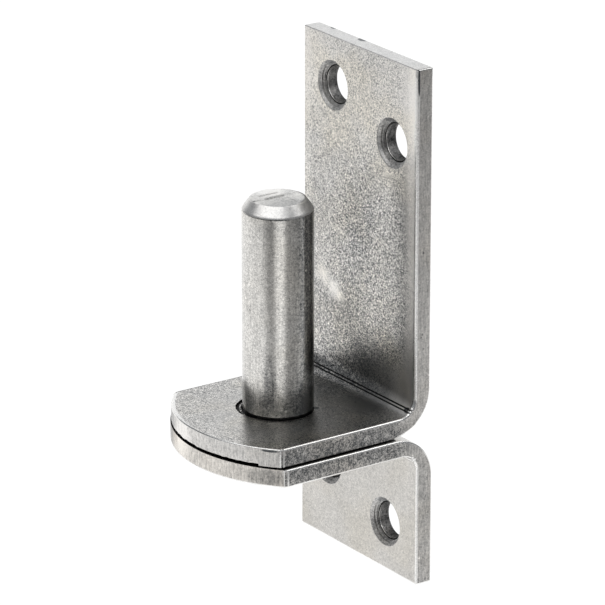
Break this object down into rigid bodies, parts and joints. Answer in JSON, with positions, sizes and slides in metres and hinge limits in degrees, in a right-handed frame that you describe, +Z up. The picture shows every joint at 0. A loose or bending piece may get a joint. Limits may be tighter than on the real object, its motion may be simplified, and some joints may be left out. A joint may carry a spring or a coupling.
{
  "type": "gate hinge pin",
  "caption": "Steel gate hinge pin standing on the joined flanges of a long and a short folded screw plate, for a strap hinge's eye to hang and turn on.",
  "frame": {"origin": "where the pin's axis meets the upper flange's top face", "axes": "+Z up along the pin; +Y towards the post behind the plates; -Y towards the flanges' nose; +X to the right as seen from the nose"},
  "size_m": [0.045, 0.0487, 0.1205],
  "materials": {
    "upper_bracket": "raw steel, tumbled to a satin grain, with small scratches",
    "lower_bracket": "raw steel, tumbled to a satin grain",
    "hinge_pin": "drawn steel bar, dull and smooth, with a sheared top face"
  },
  "bodies": {
    "root": {"upper_bracket": "upper_bracket", "lower_bracket": "lower_bracket", "hinge_pin": "hinge_pin"}
  },
  "joints": []
}
